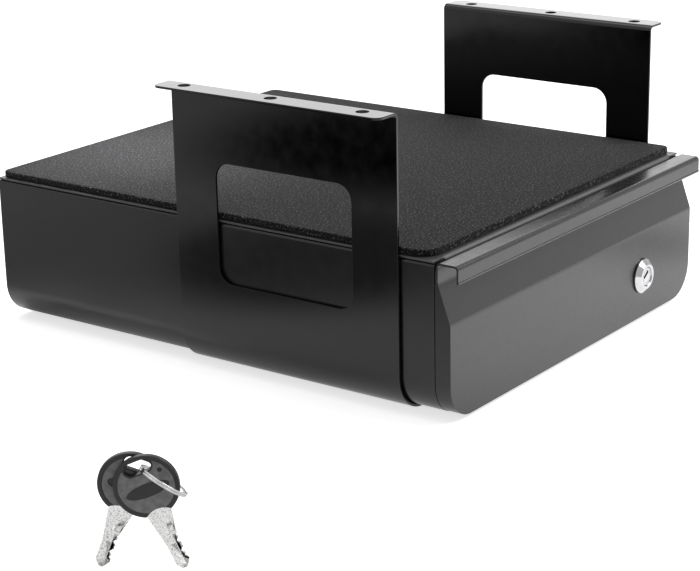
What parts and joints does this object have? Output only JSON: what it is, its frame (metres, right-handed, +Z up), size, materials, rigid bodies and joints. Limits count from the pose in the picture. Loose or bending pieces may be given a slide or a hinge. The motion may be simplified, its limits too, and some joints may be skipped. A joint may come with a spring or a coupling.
{
  "type": "under desk drawer safe",
  "caption": "Wide flat steel drawer safe hung below a desk in a U-shaped cradle, with a full-width handle, a cam lock, ball slides, a felt pad on top and keys on a ring.",
  "frame": {"origin": "middle of the underside of the cradle strap, on the surface that the safe stands on", "axes": "+Z up to the desk, -Y the way the drawer opens, +X to the right of a person facing the drawer"},
  "size_m": [0.5461, 0.3522, 0.177],
  "materials": {
    "powder_coat": "satin black powder coat on folded sheet steel",
    "felt": "speckled charcoal felt",
    "zinc": "bright zinc plating",
    "chrome": "polished chrome",
    "nickel": "nickel plated brass, lightly scratched",
    "black_steel": "blackened steel",
    "key_plastic": "black moulded plastic"
  },
  "bodies": {
    "safe_body": {"hanging_cradle": "powder_coat", "case_shell": "powder_coat", "top_panel": "powder_coat", "back_panel": "powder_coat", "top_pad": "felt", "lock_strike": "zinc", "cradle_screw_1": "black_steel", "cradle_screw_2": "black_steel", "cradle_screw_3": "black_steel", "cradle_screw_4": "black_steel", "strike_rivet_1": "zinc", "strike_rivet_2": "zinc", "slide_rail_left": "zinc", "slide_rail_right": "zinc"},
    "drawer": {"drawer_front": "powder_coat", "front_liner": "powder_coat", "drawer_tray": "powder_coat", "tray_front_wall": "powder_coat", "tray_back_wall": "powder_coat", "tray_mat": "felt", "drawer_rail_left": "zinc", "drawer_rail_right": "zinc", "rail_screw_left_front": "zinc", "rail_screw_left_rear": "zinc", "rail_screw_right_front": "zinc", "rail_screw_right_rear": "zinc", "front_rivet_1": "zinc", "front_rivet_2": "zinc", "front_rivet_3": "zinc", "front_rivet_4": "zinc", "lock_housing": "chrome", "lock_nut": "zinc"},
    "lock_rotor": {"lock_plug": "chrome", "lock_cam": "zinc", "cam_screw": "zinc"},
    "left_cage": {"ball_cage_left": "zinc"},
    "right_cage": {"ball_cage_right": "zinc"},
    "ring": {"key_ring": "chrome"},
    "key_1": {"key_1_head": "key_plastic", "key_1_blade": "nickel"},
    "key_2": {"key_2_head": "key_plastic", "key_2_blade": "nickel"}
  },
  "joints": [
    {"name": "drawer_slide", "type": "slide", "parent": "safe_body", "child": "drawer", "axis": [0, -1, 0], "range_m": [0, 0.23]},
    {"name": "left_cage_slide", "type": "slide", "parent": "safe_body", "child": "left_cage", "axis": [0, -1, 0], "range_m": [0, 0.115]},
    {"name": "right_cage_slide", "type": "slide", "parent": "safe_body", "child": "right_cage", "axis": [0, -1, 0], "range_m": [0, 0.115]},
    {"name": "lock_turn", "type": "hinge", "parent": "drawer", "child": "lock_rotor", "pos_m": [0.0785, -0.1, 0.0303], "axis": [0, -1, 0], "range_deg": [0, 90]},
    {"name": "keys_lift", "type": "slide", "parent": "safe_body", "child": "ring", "axis": [0, 0, 1], "range_m": [0, 0.25]},
    {"name": "key_1_swing", "type": "hinge", "parent": "ring", "child": "key_1", "pos_m": [-0.37, -0.087, 0.05266], "axis": [-0.8039, -0.5948, 0], "range_deg": [-8, 0]},
    {"name": "key_2_swing", "type": "hinge", "parent": "ring", "child": "key_2", "pos_m": [-0.37, -0.087, 0.05266], "axis": [-0.8039, -0.5948, 0], "range_deg": [0, 8]}
  ],
  "couplings": [
    {"joint": "left_cage_slide", "follows": "drawer_slide", "ratio": 0.5},
    {"joint": "right_cage_slide", "follows": "drawer_slide", "ratio": 0.5}
  ]
}
